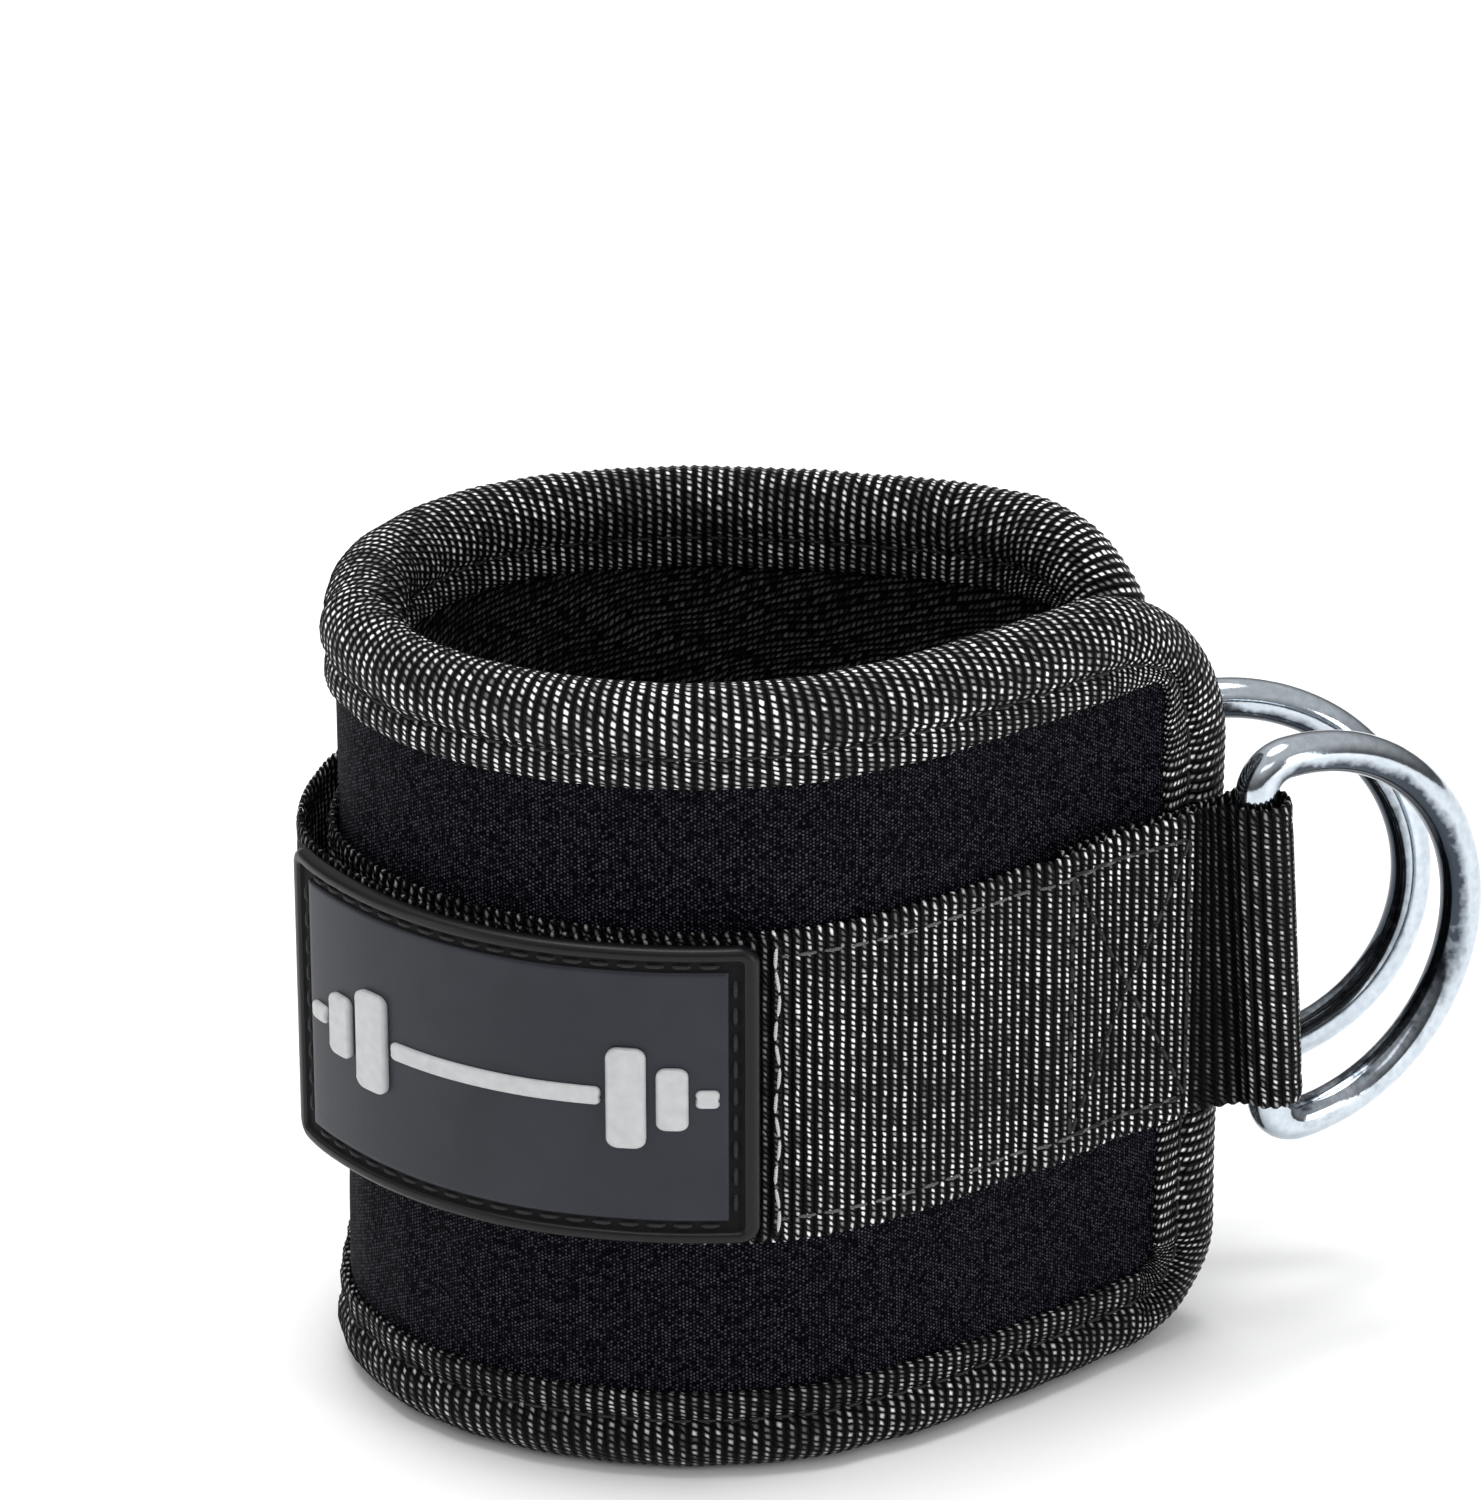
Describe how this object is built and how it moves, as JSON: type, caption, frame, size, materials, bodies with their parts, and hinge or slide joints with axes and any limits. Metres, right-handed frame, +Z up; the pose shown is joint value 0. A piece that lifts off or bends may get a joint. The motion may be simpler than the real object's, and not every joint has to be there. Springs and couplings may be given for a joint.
{
  "type": "ankle cuff",
  "caption": "Padded ankle cuff for a cable machine, closed by a hook-and-loop strap with a rubber patch, with swivelling D-rings to clip to.",
  "frame": {"origin": "centre of the bounding box at the bottom rim, with the cuff standing on its lower rim", "axes": "+X from the padded band towards the D-rings, +Y from the closure strap's patch towards the back of the band, +Z up along the ankle"},
  "size_m": [0.1408, 0.0804, 0.1],
  "materials": {
    "foam": "matte foam",
    "outer_knit": "fine matte knit",
    "lining": "brushed matte",
    "binding": "ribbed weave",
    "webbing": "ribbed weave",
    "thread": "twisted thread",
    "loop_tape": "brushed loops",
    "hook_tape": "fine hooks",
    "patch_rubber": "satin",
    "emblem": "satin",
    "ring_steel": "polished"
  },
  "bodies": {
    "back_shell": {"back_pad_core": "foam", "back_outer_fabric": "outer_knit", "back_lining": "lining", "back_binding": "binding", "back_webbing": "webbing", "closure_strap_back": "webbing", "rear_box_stitch": "thread"},
    "front_flap": {"front_pad_core": "foam", "front_outer_fabric": "outer_knit", "front_lining": "lining", "front_binding": "binding", "front_webbing": "webbing", "front_box_stitch": "thread", "loop_tape": "loop_tape"},
    "strap_end": {"closure_strap_end": "webbing", "hook_tape": "hook_tape", "rubber_patch": "patch_rubber", "patch_stitch": "thread", "patch_emblem": "emblem"},
    "front_ring": {"front_d_ring": "ring_steel"},
    "rear_ring": {"rear_d_ring": "ring_steel"}
  },
  "joints": [
    {"name": "flap_opening", "type": "hinge", "parent": "back_shell", "child": "front_flap", "pos_m": [-0.0727, -0.0014, 0.05], "axis": [0, 0, -1], "range_deg": [0, 110]},
    {"name": "strap_peel", "type": "hinge", "parent": "front_flap", "child": "strap_end", "pos_m": [-0.0727, -0.002, 0.05], "axis": [0, 0, -1], "range_deg": [0, 80]},
    {"name": "front_ring_swivel", "type": "hinge", "parent": "front_flap", "child": "front_ring", "pos_m": [0.0431, 0.0001, 0.0512], "axis": [-0.0613, -0.0334, 0.9976], "range_deg": [-120, 15]},
    {"name": "rear_ring_swivel", "type": "hinge", "parent": "back_shell", "child": "rear_ring", "pos_m": [0.0349, 0.0248, 0.0495], "axis": [0, 0, 1], "range_deg": [0, 110]}
  ]
}
